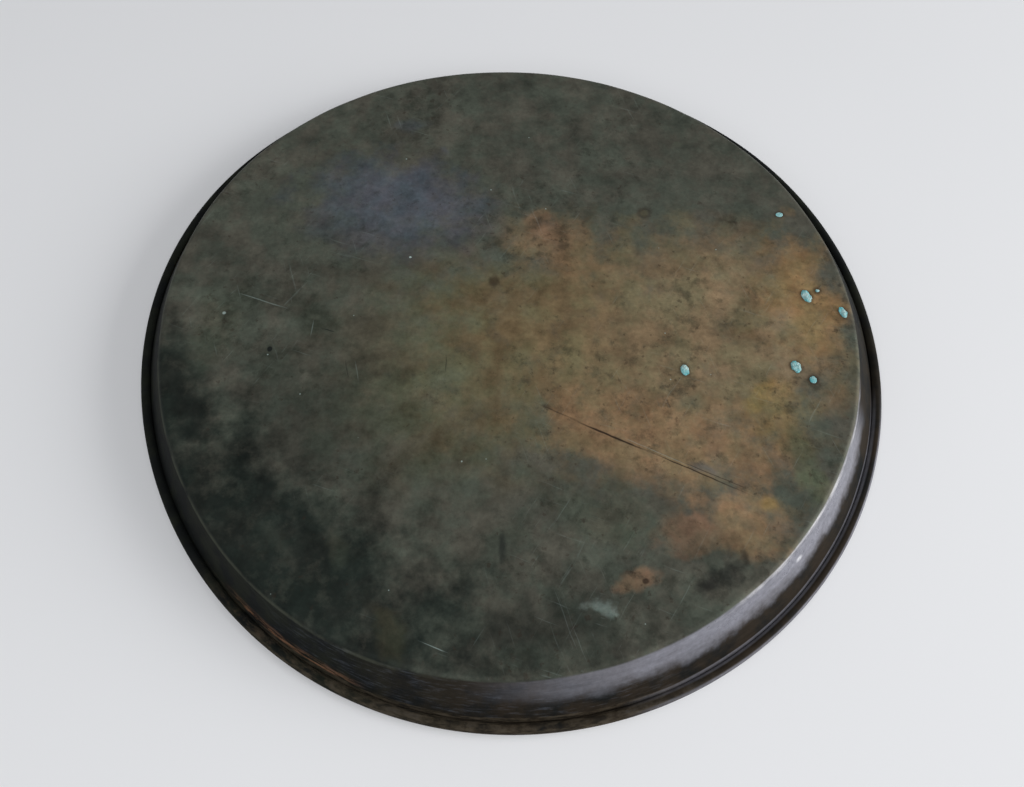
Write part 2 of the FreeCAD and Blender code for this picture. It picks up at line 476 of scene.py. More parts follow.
@dataclass
class TrayForm:
    """Sizes of the tray's sheet and wire, and the meshes that are made from them.

    The sheet's line is its outer face. It starts on the axis and runs over the base, the round
    of the corner, the wall and its flare, and then round the wire, where the outer face of the
    sheet lies against the wire.
    """

    rim_radius: float
    height: float
    wire_low: float
    wire_high: float
    corner_radius: float = 4.0 * MM
    wall_slope: float = 56.0
    flare_radius: float = 24.0 * MM
    flare_turn: float = 8.0
    curl_turn: float = 296.0
    tin: float = 0.3 * MM
    curl_margin: float = 1.05
    floor_steps: int = 47
    corner_steps: int = 8
    wall_steps: int = 8
    flare_steps: int = 4
    curl_steps: int = 26
    turned_steps: int = 360
    handwork: Handwork = field(default_factory=Handwork)

    def __post_init__(self) -> None:
        """Works out the centres of the section's arcs from its sizes."""
        self.sheet = self.wire_low
        self.wire_radius = (self.wire_high - self.wire_low) / 2
        self.bead_radius = self.wire_radius + self.sheet
        self.wire_centre = Vector((self.rim_radius - self.bead_radius, 0.0, self.bead_radius))
        lip_slope = math.radians(self.wall_slope - self.flare_turn)
        reach = self.flare_radius - self.wire_radius
        lean = Vector((math.sin(lip_slope), 0.0, math.cos(lip_slope)))
        self.flare_centre = self.wire_centre + lean * reach
        slope = math.radians(self.wall_slope)
        self.downhill = Vector((math.cos(slope), 0.0, -math.sin(slope)))
        normal = Vector((math.sin(slope), 0.0, math.cos(slope)))
        self.wall_foot = self.flare_centre - normal * self.flare_radius
        rise = self.height - self.wall_foot.z
        inset = self.corner_radius * math.tan(slope / 2)
        self.flat_radius = self.wall_foot.x - rise / math.tan(slope) - inset
        low = self.height - self.corner_radius
        self.corner_centre = Vector((self.flat_radius, 0.0, low))
        self.wall_top = self.corner_centre + normal * self.corner_radius
        self.base_radius = self.flat_radius + inset

    def turned_sheet(self, name: str) -> bpy.types.Object:
        """The outer face of the whole sheet, as one open turned skin.

        Args:
            name: The name of the new piece.

        Returns:
            The skin, with its faces outwards, before any handwork.
        """
        piece = seed_point(name, Vector((0.0, 0.0, self.height)))
        draw_straight(Vector((self.flat_radius / self.floor_steps, 0.0, 0.0)), self.floor_steps)
        draw_arc(self.corner_centre, self.wall_slope, self.corner_steps)
        run = (self.wall_foot - self.wall_top).length / self.wall_steps
        draw_straight(self.downhill * run, self.wall_steps)
        draw_arc(self.flare_centre, -self.flare_turn, self.flare_steps)
        draw_arc(self.wire_centre, -self.curl_turn, self.curl_steps)
        self.turn_outline()
        close_turned_mesh(piece)
        self.face_up(piece)
        return piece

    @staticmethod
    def face_up(skin: bpy.types.Object) -> None:
        """Turns an open skin over if its base looks down."""
        highest = max(skin.data.polygons, key=lambda face: face.center.z)
        if highest.normal.z < 0:
            make_active(skin)
            bpy.ops.object.mode_set(mode="EDIT")
            bpy.ops.mesh.select_all(action="SELECT")
            bpy.ops.mesh.flip_normals()
            bpy.ops.object.mode_set(mode="OBJECT")

    def turn_outline(self) -> None:
        """Turns the drawn outline once round the tray's axis."""
        bpy.ops.mesh.select_all(action="SELECT")
        bpy.ops.mesh.spin(steps=self.turned_steps, angle=math.tau, center=(0, 0, 0), axis=(0, 0, 1))

    def beaten(self, piece: bpy.types.Object) -> None:
        """Moves every point of a piece from the true tray to the beaten one.

        Args:
            piece: The piece that belongs to the tray.
        """
        for vertex in piece.data.vertices:
            vertex.co = self.handwork.moved(
                vertex.co, 2 * self.bead_radius, self.height, self.base_radius
            )
        piece.data.update()

    def above_bead(self, place: Vector) -> bool:
        """Whether a point is on the base or the wall, and not in the curl."""
        outward = math.hypot(place.x, place.y) - self.wire_centre.x
        upward = place.z - self.wire_centre.z
        return math.hypot(outward, upward) > self.curl_margin * self.wire_radius


# ---------------------------------------------------------------------------------------------
# Finishes
# ---------------------------------------------------------------------------------------------


class Tone(Enum):
    """Colours of the patina, and of the painted highlights and glint on the wall, in linear light.
    """

    SOOT = (0.010, 0.012, 0.012)
    TEAL_BLACK = (0.013, 0.018, 0.016)
    DARK_GREEN = (0.018, 0.021, 0.015)
    DARK_BROWN = (0.030, 0.019, 0.013)
    UMBER = (0.066, 0.052, 0.034)
    WARM_GREY = (0.079, 0.082, 0.067)
    GREEN_GREY = (0.086, 0.094, 0.070)
    SLATE = (0.092, 0.104, 0.130)
    OLIVE = (0.120, 0.112, 0.068)
    HONEY = (0.186, 0.140, 0.076)
    AMBER = (0.232, 0.176, 0.106)
    RUST = (0.275, 0.180, 0.102)
    ORANGE = (0.320, 0.205, 0.098)
    GOLD = (0.360, 0.240, 0.085)
    ROSE = (0.225, 0.140, 0.090)
    BARE_COPPER = (0.300, 0.150, 0.080)
    # Grey of the bright metal on the wall; where it is laid it also paints the window's highlight.
    LILAC_GREY = (0.300, 0.300, 0.340)
    RED_BROWN = (0.038, 0.026, 0.017)
    LICHEN = (0.115, 0.130, 0.082)
    # White of the painted glint on the wall.
    WHITE = (0.900, 0.900, 0.930)
    VERDIGRIS = (0.075, 0.400, 0.440)
    CHALK = (0.480, 0.600, 0.570)


@dataclass(frozen=True)
class Patch:
    """One stain of the patina: its middle, half width and half depth, all in millimetres."""

    x: float
    y: float
    width: float
    depth: float
    turn: float
    tone: Tone
    strength: float
    softness: float = 0.8
    ragged: float = 0.9


@dataclass(frozen=True)
class Stroke:
    """One scratch or thin line on the base, from end to end, in millimetres."""

    start: tuple[float, float]
    end: tuple[float, float]
    width: float
    tone: Tone
    strength: float
    ragged: float = 0.5

    def patch(self, softness: float) -> Patch:
        """The long thin oval that stands for it.

        Args:
            softness: How far in its edge fades.

        Returns:
            The oval.
        """
        run = Vector(self.end) - Vector(self.start)
        middle = (Vector(self.end) + Vector(self.start)) / 2
        turn = math.degrees(math.atan2(run.y, run.x))
        size = (run.length / 2, self.width / 2)
        return Patch(*middle, *size, turn, self.tone, self.strength, softness, self.ragged)


# The large areas come first and the smaller ones on them last.
STAINS_AND_SHEEN = (
    Patch(-20, -30, 130, 100, 0, Tone.OLIVE, 0.85, 0.9, 1.4),
    Patch(50, -14, 122, 98, -8, Tone.HONEY, 0.90, 0.8, 1.4),
    Patch(118, -10, 98, 98, -6, Tone.AMBER, 0.92, 0.7, 1.4),
    Patch(78, -77, 82, 37, -14, Tone.RUST, 0.85, 0.7, 1.8),
    Patch(165, 14, 29, 60, 0, Tone.ORANGE, 0.85, 0.8, 1.8),
    Patch(142, -62, 26, 22, 20, Tone.GOLD, 0.40, 0.8, 1.8),
    Patch(20, 50, 46, 26, -14, Tone.RUST, 0.50, 0.8, 2.2),
    Patch(22, 60, 22, 13, -14, Tone.ROSE, 0.45, 0.8, 2.2),
    # A painted reflection of the sky on the base, partly the patina's own bluish tint.
    Patch(-70, 76, 76, 48, -10, Tone.SLATE, 0.95, 0.8, 1.8),
    Patch(92, 100, 84, 30, -25, Tone.WARM_GREY, 0.55, 0.8, 1.8),
    Patch(-10, -128, 150, 44, 2, Tone.WARM_GREY, 0.65, 0.8, 1.6),
    Patch(-130, -24, 84, 130, -15, Tone.WARM_GREY, 0.60, 0.8, 1.4),
    Patch(-108, -152, 160, 74, -34, Tone.TEAL_BLACK, 0.95, 0.8, 1.6),
    Patch(-186, -56, 56, 90, 14, Tone.TEAL_BLACK, 0.90, 0.8, 1.6),
    Patch(-104, -76, 88, 66, -30, Tone.TEAL_BLACK, 0.40, 0.9, 1.6),
    Patch(-122, 0, 26, 20, 0, Tone.DARK_GREEN, 0.45, 0.9, 1.8),
    Patch(14, -172, 110, 34, 0, Tone.TEAL_BLACK, 0.60, 0.9, 1.8),
    Patch(114, -114, 36, 22, -24, Tone.RUST, 0.85, 0.7, 2.0),
    Patch(90, -124, 26, 13, 20, Tone.ROSE, 0.70, 0.7, 2.2),
    Patch(62, -151, 16, 7, 5, Tone.ROSE, 0.80, 0.7, 2.2),
    Patch(52, -121, 38, 19, 10, Tone.GREEN_GREY, 0.70, 0.8, 2.0),
    Patch(99, -148, 17, 10, 30, Tone.SOOT, 0.80, 0.9, 3.2),
    Patch(153, -92, 11, 22, 20, Tone.LICHEN, 0.80, 0.7, 2.0),
    Patch(-163, -8, 20, 38, 6, Tone.GREEN_GREY, 0.60, 0.8, 1.8),
    Patch(50, -166, 13, 6, -20, Tone.CHALK, 0.28, 0.9, 4.6),
    Patch(133, -54, 8, 13, -30, Tone.GOLD, 0.45, 0.8, 2.4),
    Patch(104, -91, 15, 6, -26, Tone.SLATE, 0.50, 0.9, 2.6),
    Patch(-68, 144, 15, 7, -20, Tone.SLATE, 0.45, 0.9, 2.6),
    Patch(-44, 120, 5, 9, 20, Tone.SLATE, 0.40, 0.9, 2.6),
    Patch(-58, -174, 8, 16, 30, Tone.OLIVE, 0.30, 0.9, 2.6),
    Patch(-112, -140, 26, 8, -38, Tone.WARM_GREY, 0.30, 0.9, 2.6),
    Patch(-82, -137, 5, 18, 12, Tone.GREEN_GREY, 0.35, 0.9, 2.6),
    Patch(77, 50, 6, 14, 4, Tone.WARM_GREY, 0.60, 0.9, 2.6),
)

# Small marks keep their place and their shape.
MARKS = (
    Patch(-10, 22, 4.5, 5.5, 10, Tone.DARK_BROWN, 0.65, 0.6, 1.0),
    Patch(80, 73, 6.5, 6.0, 0, Tone.DARK_BROWN, 0.50, 0.5, 0.7),
    Patch(80, 73, 3.6, 3.4, 0, Tone.OLIVE, 0.45, 0.6, 0.7),
    Patch(105, 129, 4.0, 3.2, 0, Tone.GREEN_GREY, 0.70, 0.6, 0.6),
    Patch(-132, -25, 1.8, 2.2, 0, Tone.SOOT, 0.90, 0.4, 0.6),
    Patch(66, -150, 2.2, 1.8, 0, Tone.DARK_BROWN, 0.80, 0.5, 0.6),
    Patch(131, -111, 7.0, 6.0, 0, Tone.GOLD, 0.50, 0.8, 2.2),
    Patch(19, -58, 4.0, 2.2, -25, Tone.DARK_BROWN, 0.55, 0.7, 1.2),
    Patch(-161, -2, 1.4, 1.2, 0, Tone.CHALK, 0.50, 0.5, 0.6),
    Patch(-59, 38, 0.9, 0.8, 0, Tone.CHALK, 0.80, 0.4, 0.2),
    Patch(-110, -4, 5.0, 2.6, -10, Tone.GREEN_GREY, 0.60, 0.7, 1.2),
    Patch(-3, -133, 2.4, 10, 0, Tone.SOOT, 0.60, 0.9, 1.6),
    Patch(115, -137, 2.6, 7, 8, Tone.SOOT, 0.60, 0.9, 1.6),
)

STROKES = (
    Stroke((10, -54), (40, -68), 1.2, Tone.DARK_BROWN, 0.50, 0.9),
    Stroke((28, -63), (78, -86), 1.6, Tone.DARK_BROWN, 0.95),
    Stroke((62, -78), (128, -109), 1.2, Tone.DARK_BROWN, 0.85),
    Stroke((78, -84), (128, -106), 0.8, Tone.DARK_BROWN, 0.65, 0.9),
    # A painted glint: a pale line along the edge of the long scratch.
    Stroke((52, -72), (104, -96), 0.7, Tone.CHALK, 0.16, 1.4),
    Stroke((-160, 13), (-124, 1), 1.0, Tone.CHALK, 0.20, 1.3),
    Stroke((-110, -3), (-111, -18), 0.9, Tone.CHALK, 0.16, 1.0),
    Stroke((-106, -11), (-96, -14), 1.1, Tone.SOOT, 0.60),
    Stroke((-91, -28), (-86, -46), 0.9, Tone.SOOT, 0.45),
    Stroke((-85, -30), (-81, -46), 0.8, Tone.CHALK, 0.10),
    Stroke((-35, -26), (-35, -40), 1.0, Tone.SOOT, 0.45),
    Stroke((-42, -178), (-26, -184), 0.8, Tone.CHALK, 0.30, 1.6),
)


@dataclass(frozen=True)
class Swing:
    """A number that follows noise: what it is at 0, and how much it gains by 1."""

    start: float
    gain: float

    def by(self, noise: Port) -> Port:
        """The number at one value of the noise."""
        return self.start + noise * self.gain


@dataclass(frozen=True)
class Veil:
    """A layer that noise lays over a colour: from where to where, how strongly, and its tone."""

    cloud: Cloud
    span: Span
    strength: float
    tone: Tone
    crowding: float = 0.0

    def over(self, desk: ShaderDesk, colour: Feed, place: Port, crowd: Port | None = None) -> Port:
        """Lays it over a colour.

        Args:
            desk: The material's desk.
            colour: The colour before.
            place: Where its noise is read.
            crowd: Broad noise that gathers it in some parts and thins it in others.

        Returns:
            The colour after.
        """
        noise = desk.noise(place, self.cloud)
        if crowd is not None:
            noise = noise + (crowd - 0.5) * self.crowding
        return desk.mixed(desk.step(noise, *self.span) * self.strength, colour, self.tone.value)


@dataclass(frozen=True)
class Stretch:
    """A part of the wall's way round: where its middle faces, half its length, its fade inside.

    All three are in degrees, and the bearing runs counter-clockwise from +X.
    """

    bearing: float
    half: float
    fade: float

    def mask(self, desk: ShaderDesk, outward: Port) -> Port:
        """Makes its mask.

        Args:
            desk: The material's desk.
            outward: The level direction from the tray's axis.

        Returns:
            1 about its middle and 0 past its ends.
        """
        turn = math.radians(self.bearing)
        towards = (math.cos(turn), math.sin(turn), 0.0)
        facing = desk.vector("DOT_PRODUCT", outward, towards, output="Value")
        end = math.cos(math.radians(self.half))
        return desk.step(facing, end, math.cos(math.radians(self.half - self.fade)))


@dataclass(frozen=True)
class Coat:
    """A layer on a stretch of the wall: from which noise to which, how strongly, and its tone."""

    stretch: Stretch
    span: Span
    strength: float
    tone: Tone

    def over(
        self, desk: ShaderDesk, colour: Port, outward: Port, noise: Port, band: Port | None = None
    ) -> Port:
        """Lays it over a colour.

        Args:
            desk: The material's desk.
            colour: The colour before.
            outward: The level direction from the tray's axis.
            noise: The noise that lets it in.
            band: The heights that it keeps to.

        Returns:
            The colour after.
        """
        mask = self.stretch.mask(desk, outward)
        if band is not None:
            mask = mask * band
        mask = mask * desk.step(noise, *self.span) * self.strength
        return desk.mixed(mask, colour, self.tone.value)


def stained(desk: ShaderDesk, colour: Feed, place: Port, patch: Patch, cloud: Port) -> Port:
    """Adds one stain to a colour.

    Args:
        desk: The material's desk.
        colour: The colour before.
        place: Where the stain is read.
        patch: The stain.
        cloud: The noise that breaks up its edge.

    Returns:
        The colour after.
    """
    size = (patch.width * MM, patch.depth * MM)
    reach = desk.reach(place, patch.x * MM, patch.y * MM, size, patch.turn)
    mask = desk.step(reach + (cloud - 0.5) * patch.ragged, 1.0, 1.0 - patch.softness)
    return desk.mixed(mask * patch.strength, colour, patch.tone.value)


def below(level: float, drops: Span) -> Span:
    """The two heights that lie so far below a level."""
    return (level - drops[0], level - drops[1])


@dataclass(frozen=True)
class BasePatina:
    """The base: stains and a painted sheen over each other, then clouds, dust, flecks, hairlines
    and single marks.
    """

    crust_marks: tuple[Patch, ...]
    ground: Tone = Tone.WARM_GREY
    stain_wanders: tuple[Wander, ...] = (Wander(70, 17), Wander(20, 6))
    cloud_depth: float = 1.5
    smudge_depth: float = 1.15
    dust: Veil = Veil(Cloud(14, 7.0, 0.68), (0.50, 0.68), 0.30, Tone.WARM_GREY)
    hue: Cloud = Cloud(20, 6.0, 0.65)
    hue_span: Span = (0.36, 0.64)
    warm_tint: Colour = (1.07, 0.99, 0.95)
    cool_tint: Colour = (0.93, 1.02, 0.97)
    crowd: Cloud = Cloud(60, 2.0, 0.5)
    blots: Veil = Veil(Cloud(9, 7.0, 0.7), (0.53, 0.74), 0.5, Tone.DARK_GREEN, 0.4)
    flecks: Veil = Veil(Cloud(3.6, 3.0, 0.6), (0.64, 0.74), 0.45, Tone.DARK_BROWN, 0.25)
    speck_cell: float = 11 * MM
    speck_choice: Span = (0.78, 0.80)
    speck_reach: Span = (0.055, 0.025)
    speck_strength: float = 0.5
    hairline: Veil = Veil(Cloud(1.3, 2.0, 0.5), (0.66, 0.78), 0.08, Tone.CHALK, 0.1)
    hairline_patch: Span = (0.46, 0.58)
    hairline_length: float = 36.0
    hairline_wander: Wander = Wander(45, 2.5)
    hairline_lays: tuple[tuple[float, float], ...] = ((20, 0.0), (71, 0.31), (-32, 0.57))
    mark_wander: Wander = Wander(9, 0.5)
    stroke_softness: float = 0.7

    def colour(self, desk: ShaderDesk, place: Port, flat: Port, cloud: Port, smudge: Port) -> Port:
        """Lays the whole patina of the base, with a painted sheen and a painted glint.

        Args:
            desk: The material's desk.
            place: The point that is shaded.
            flat: The same point, dropped to the table.
            cloud: The broad noise, which also breaks up the stains' edges.
            smudge: The finer noise, which also breaks up the marks' edges.

        Returns:
            The colour of the base.
        """
        ragged = flat
        for wander in self.stain_wanders:
            ragged = desk.wandered(ragged, wander)
        colour: Feed = self.ground.value
        for patch in STAINS_AND_SHEEN:
            colour = stained(desk, colour, ragged, patch, cloud)
        colour = self.mottled(desk, colour, place, cloud, smudge)
        colour = self.specked(desk, colour, place)
        colour = self.hairlined(desk, colour, place)
        return self.marked(desk, colour, flat, smudge)

    def mottled(
        self, desk: ShaderDesk, colour: Port, place: Port, cloud: Port, smudge: Port
    ) -> Port:
        """Adds the cloudy lights and darks, the dust, the drift of hue, the blots and the flecks.

        Args:
            desk: The material's desk.
            colour: The colour before.
            place: The point that is shaded.
            cloud: The broad noise.
            smudge: The finer noise.

        Returns:
            The colour after.
        """
        light = 1.0 + (cloud - 0.5) * self.cloud_depth + (smudge - 0.5) * self.smudge_depth
        colour = self.dust.over(desk, desk.scaled(colour, light), place)
        hue = desk.step(desk.noise(place, self.hue), *self.hue_span)
        tint = desk.mixed(hue, self.warm_tint, self.cool_tint)
        colour = desk.vector("MULTIPLY", colour, tint)
        crowd = desk.noise(place, self.crowd)
        colour = self.blots.over(desk, colour, place, crowd)
        return self.flecks.over(desk, colour, place, crowd)

    def specked(self, desk: ShaderDesk, colour: Port, place: Port) -> Port:
        """Adds a few pale specks.

        Args:
            desk: The material's desk.
            colour: The colour before.
            place: The point that is shaded.

        Returns:
            The colour after.
        """
        cells = {"Vector": place, "Scale": 1 / self.speck_cell}
        gap = desk.node("TexVoronoi", {"feature": "F1"}, cells, "Distance")
        lot = desk.node("TexVoronoi", {"feature": "F1"}, cells, "Color")
        chosen = desk.step(desk.node("SeparateColor", {}, {0: lot}, "Red"), *self.speck_choice)
        specks = desk.step(gap, *self.speck_reach) * chosen
        return desk.mixed(specks * self.speck_strength, colour, Tone.CHALK.value)

    def hairlined(self, desk: ShaderDesk, colour: Port, place: Port) -> Port:
        """Adds faint hairlines, which lie a few ways and gather in patches.

        Args:
            desk: The material's desk.
            colour: The colour before.
            place: The point that is shaded.

        Returns:
            The colour after.
        """
        line = self.hairline
        wavy = desk.wandered(place, self.hairline_wander)
        for turn, seat in self.hairline_lays:
            sockets = {
                "Vector": wavy,
                "Location": (seat, 0.0, 0.0),
                "Rotation": (0.0, 0.0, math.radians(turn)),
                "Scale": (1.0, self.hairline_length, 1.0),
            }
            drawn = desk.node("Mapping", {"vector_type": "TEXTURE"}, sockets)
            lines = desk.step(desk.noise(drawn, line.cloud), *line.span)
            crowd = desk.noise(place, self.crowd) + (seat - 0.5) * line.crowding
            patchy = desk.step(crowd, *self.hairline_patch)
            colour = desk.mixed(lines * patchy * line.strength, colour, line.tone.value)
        return colour

    def marked(self, desk: ShaderDesk, colour: Port, flat: Port, smudge: Port) -> Port:
        """Adds the single marks, the scratch lines and the painted glint beside the long scratch.

        Args:
            desk: The material's desk.
            colour: The colour before.
            flat: The place on the base.
            smudge: The noise that breaks up the marks' edges.

        Returns:
            The colour after.
        """
        shaky = desk.wandered(flat, self.mark_wander)
        # Scratch lines, one of them the painted glint beside the long scratch.
        scratches_and_glint = (stroke.patch(self.stroke_softness) for stroke in STROKES)
        for patch in (*MARKS, *self.crust_marks, *scratches_and_glint):
            colour = stained(desk, colour, shaky, patch, smudge)
        return colour


@dataclass(frozen=True)
class WallPatina:
    """The wall: soot all round, scuffed in front, bright metal towards the front right that is
    partly wear and partly a painted highlight, painted highlights on the corner's ridge and the
    rolled rim, and a painted glint.
    """

    base_level: float
    drawn_out: float = 0.12
    streak: Cloud = Cloud(2.2, 4.0, 0.6)
    fine: Cloud = Cloud(1.2, 5.0, 0.7)
    ragged: Cloud = Cloud(16, 5.0, 0.6)
    soot_span: Span = (0.4, 0.6)
    soot_light: Swing = Swing(0.20, 0.9)
    corner_drop: Span = (3.2 * MM, 2.2 * MM)
    browned: Coat = Coat(Stretch(-52, 66, 34), (0.3, 0.6), 0.8, Tone.RED_BROWN)
    scuffed: Coat = Coat(Stretch(-96, 36, 20), (0.50, 0.72), 0.32, Tone.SLATE)
    bared: Coat = Coat(Stretch(-98, 44, 24), (0.38, 0.62), 0.75, Tone.UMBER)
    bared_level: Span = (6.0 * MM, 5.3 * MM)
    worn: Coat = Coat(Stretch(-121, 13, 7), (0.42, 0.58), 0.5, Tone.BARE_COPPER)
    worn_top: Span = (10.5 * MM, 6.5 * MM)
    worn_foot: Span = (5.4 * MM, 6.2 * MM)
    dulled: Coat = Coat(Stretch(-150, 56, 20), (0.3, 0.6), 0.45, Tone.GREEN_GREY)
    # Bare, bright metal on the front right: partly real wear, partly a painted highlight laid where
    # the window's highlight falls.
    rubbed_and_highlighted: tuple[Stretch, Stretch] = (Stretch(-60, 46, 12), Stretch(-20, 78, 44))
    # Below this level the wall is left dark, which paints the rolled rim's reflection in the lower
    # wall.
    rubbed_and_highlighted_level: float = 14.5 * MM
    rubbed_and_highlighted_ragged_mm: float = 11
    rubbed_and_highlighted_fade: Span = (-3.0 * MM, 5.0 * MM)
    rubbed_and_highlighted_shine: Swing = Swing(0.75, 0.4)
    # A painted highlight: the rolled rim is bright metal only on the front right, where the
    # window's highlight falls.
    bead: Stretch = Stretch(-42, 34, 14)
    bead_level: Span = (5.6 * MM, 5.0 * MM)
    bead_shine: float = 0.55
    bead_least: float = 0.4
    # A painted highlight: a bright line along the corner's ridge on the front right.
    ridge: Stretch = Stretch(-36, 26, 14)
    ridge_span: Span = (0.35, 0.6)
    ridge_highlight_colour: Colour = (0.62, 0.61, 0.63)
    metal_light: Swing = Swing(0.75, 0.5)
    # A painted glint: a small white spot on the wall where the window's highlight falls.
    painted_glint: Patch = Patch(143.6, -136.3, 3.2, 1.2, 45, Tone.WHITE, 0.85, 0.9, 0.8)

    def colour(self, desk: ShaderDesk, place: Port, flat: Port, level: Port) -> tuple[Port, Port]:
        """Lays the whole patina of the wall, with its painted highlights and glint.

        Args:
            desk: The material's desk.
            place: The point that is shaded.
            flat: The same point, dropped to the table.
            level: Its height.

        Returns:
            The colour of the wall, with its painted highlights, and how much of it is bare, shiny
            metal.
        """
        outward = desk.vector("NORMALIZE", flat)
        rise = desk.node("CombineXYZ", {}, {"Z": level})
        drawn = desk.vector("ADD", desk.scaled(flat, self.drawn_out), rise)
        streaks = desk.noise(drawn, self.streak)
        fine = desk.noise(drawn, self.fine)
        ragged = desk.noise(place, self.ragged)
        corner = desk.step(level, *below(self.base_level, self.corner_drop))
        sooty = self.sooty(desk, outward, level, ragged, fine)
        sooty = self.dulled.over(desk, sooty, outward, ragged, corner)
        # Painted highlight on the corner's ridge, front right.
        ridge = corner * self.ridge.mask(desk, outward) * desk.step(streaks, *self.ridge_span)
        shine = self.shine(desk, outward, level, ragged, streaks).at_least(ridge)
        # Bright metal colour, lighter on the ridge, where it paints the highlight line.
        metal = desk.mixed(ridge, Tone.LILAC_GREY.value, self.ridge_highlight_colour)
        metal = desk.scaled(metal, self.metal_light.by(streaks))
        # The painted glint on the wall.
        metal = stained(desk, metal, flat, self.painted_glint, ragged)
        return desk.mixed(shine, sooty, metal), shine

    def sooty(
        self, desk: ShaderDesk, outward: Port, level: Port, ragged: Port, fine: Port
    ) -> Port:
        """Lays the soot, browned and scuffed in front and worn to metal low on the wall.

        Args:
            desk: The material's desk.
            outward: The level direction from the tray's axis.
            level: The height of the point that is shaded.
            ragged: The broad noise.
            fine: The fine noise, drawn out across the wall.

        Returns:
            The colour of the wall where it isn't rubbed bright.
        """
        green = desk.step(ragged, *self.soot_span)
        colour = desk.mixed(green, Tone.SOOT.value, Tone.DARK_GREEN.value)
        colour = self.browned.over(desk, colour, outward, ragged)
        colour = desk.scaled(colour, self.soot_light.by(fine))
        colour = self.scuffed.over(desk, colour, outward, fine)
        colour = self.bared.over(desk, colour, outward, fine, desk.step(level, *self.bared_level))
        low = desk.step(level, *self.worn_top) * desk.step(level, *self.worn_foot)
        return self.worn.over(desk, colour, outward, fine, low)

    def shine(
        self, desk: ShaderDesk, outward: Port, level: Port, ragged: Port, streaks: Port
    ) -> Port:
        """Finds where the wall and the rolled rim are bare metal: worn there, and laid where the
        window's highlight falls, so that it also paints that highlight.

        Args:
            desk: The material's desk.
            outward: The level direction from the tray's axis.
            level: The height of the point that is shaded.
            ragged: The broad noise, which moves the lower edge of the bright part up and down.
            streaks: The noise drawn out across the wall.

        Returns:
            How bare the metal is, and so how strong the painted highlight is, without the ridge of
            the corner.
        """
        # Bright metal high on the front right wall paints the window's highlight; below the wavy
        # edge the wall stays dark, painting the rim's reflection.
        front, right = (stretch.mask(desk, outward) for stretch in self.rubbed_and_highlighted)
        edge = self.rubbed_and_highlighted_level + (ragged - 0.5) * self.rubbed_and_highlighted_ragged_mm * MM
        upper = desk.step(level - edge, *self.rubbed_and_highlighted_fade)
        wall = front * right * upper * self.rubbed_and_highlighted_shine.by(streaks)
        # Painted highlight on the rolled rim, front right.
        bead = desk.step(level, *self.bead_level) * self.bead.mask(desk, outward)
        return wall.at_least(bead * self.bead_shine * (self.bead_least + streaks))


@dataclass(frozen=True)
class CopperPatina:
    """The outer face of the tray: the base's patina above, and the wall's below its corner."""

    base: BasePatina
    wall: WallPatina
    grain: Cloud = Cloud(2.6, 4.0, 0.6)
    cloud: Cloud = Cloud(24, 7.0, 0.62)
    smudge: Cloud = Cloud(11, 5.0, 0.6)
    edge_drop: Span = (1.6 * MM, 0.6 * MM)
    grain_light: Swing = Swing(1.0, 0.65)
    base_rough: Swing = Swing(0.50, 0.3)
    base_rough_grain: float = 0.2
    wall_rough: Span = (0.78, 0.27)
    wall_rough_grain: float = 0.15
    base_metallic: float = 0.25
    wall_metallic: float = 0.9
    specular: float = 0.1
    relief_grain: float = 0.35
    relief_cloud: float = 0.65
    relief_depth: float = 0.12 * MM

    def material(self) -> bpy.types.Material:
        """Builds the finish.

        Returns:
            The material.
        """
        desk = ShaderDesk("copper_patina")
        place = desk.place()
        flat = desk.vector("MULTIPLY", place, (1.0, 1.0, 0.0))
        level = desk.node("SeparateXYZ", {}, {0: place}, "Z")
        grain = desk.noise(place, self.grain)
        cloud = desk.noise(place, self.cloud)
        smudge = desk.noise(place, self.smudge)
        base_colour = self.base.colour(desk, place, flat, cloud, smudge)
        wall_colour, shine = self.wall.colour(desk, place, flat, level)
        on_base = desk.step(level, *below(self.wall.base_level, self.edge_drop))
        colour = desk.mixed(on_base, wall_colour, base_colour)
        colour = desk.scaled(colour, self.grain_light.by(grain - 0.5))
        base_rough = self.base_rough.by(cloud - 0.5) + (grain - 0.5) * self.base_rough_grain
        wall_rough = desk.between(shine, *self.wall_rough) + (grain - 0.5) * self.wall_rough_grain
        surface = {
            "Base Color": colour,
            "Roughness": desk.between(on_base, wall_rough, base_rough),
            "Metallic": desk.between(on_base, shine * self.wall_metallic, self.base_metallic),
            "Specular IOR Level": self.specular,
        }
        relief = grain * self.relief_grain + cloud * self.relief_cloud
        return desk.finish(surface, relief, self.relief_depth)


@dataclass(frozen=True)
class WipedTin:
    """Dull grey tin, wiped on by hand in clouds and worn through to copper in places."""

    cloud: Cloud = Cloud(40, 5.0, 0.6)
    grain: Cloud = Cloud(2.5, 4.0, 0.6)
    dark: Colour = (0.30, 0.295, 0.28)
    light: Colour = (0.56, 0.55, 0.53)
    worn: Veil = Veil(Cloud(26, 6.0, 0.65), (0.60, 0.66), 0.7, Tone.BARE_COPPER)
    grain_light: Swing = Swing(0.85, 0.3)
    roughness: Swing = Swing(0.30, 0.25)
    metallic: float = 0.9
    relief_depth: float = 0.05 * MM

    def material(self) -> bpy.types.Material:
        """Builds the finish.

        Returns:
            The material.
        """
        desk = ShaderDesk("wiped_tin")
        place = desk.place()
        cloud = desk.noise(place, self.cloud)
        grain = desk.noise(place, self.grain)
        colour = self.worn.over(desk, desk.mixed(cloud, self.dark, self.light), place)
        surface = {
            "Base Color": desk.scaled(colour, self.grain_light.by(grain)),
            "Roughness": self.roughness.by(cloud),
            "Metallic": self.metallic,
        }
        return desk.finish(surface, grain + cloud, self.relief_depth)


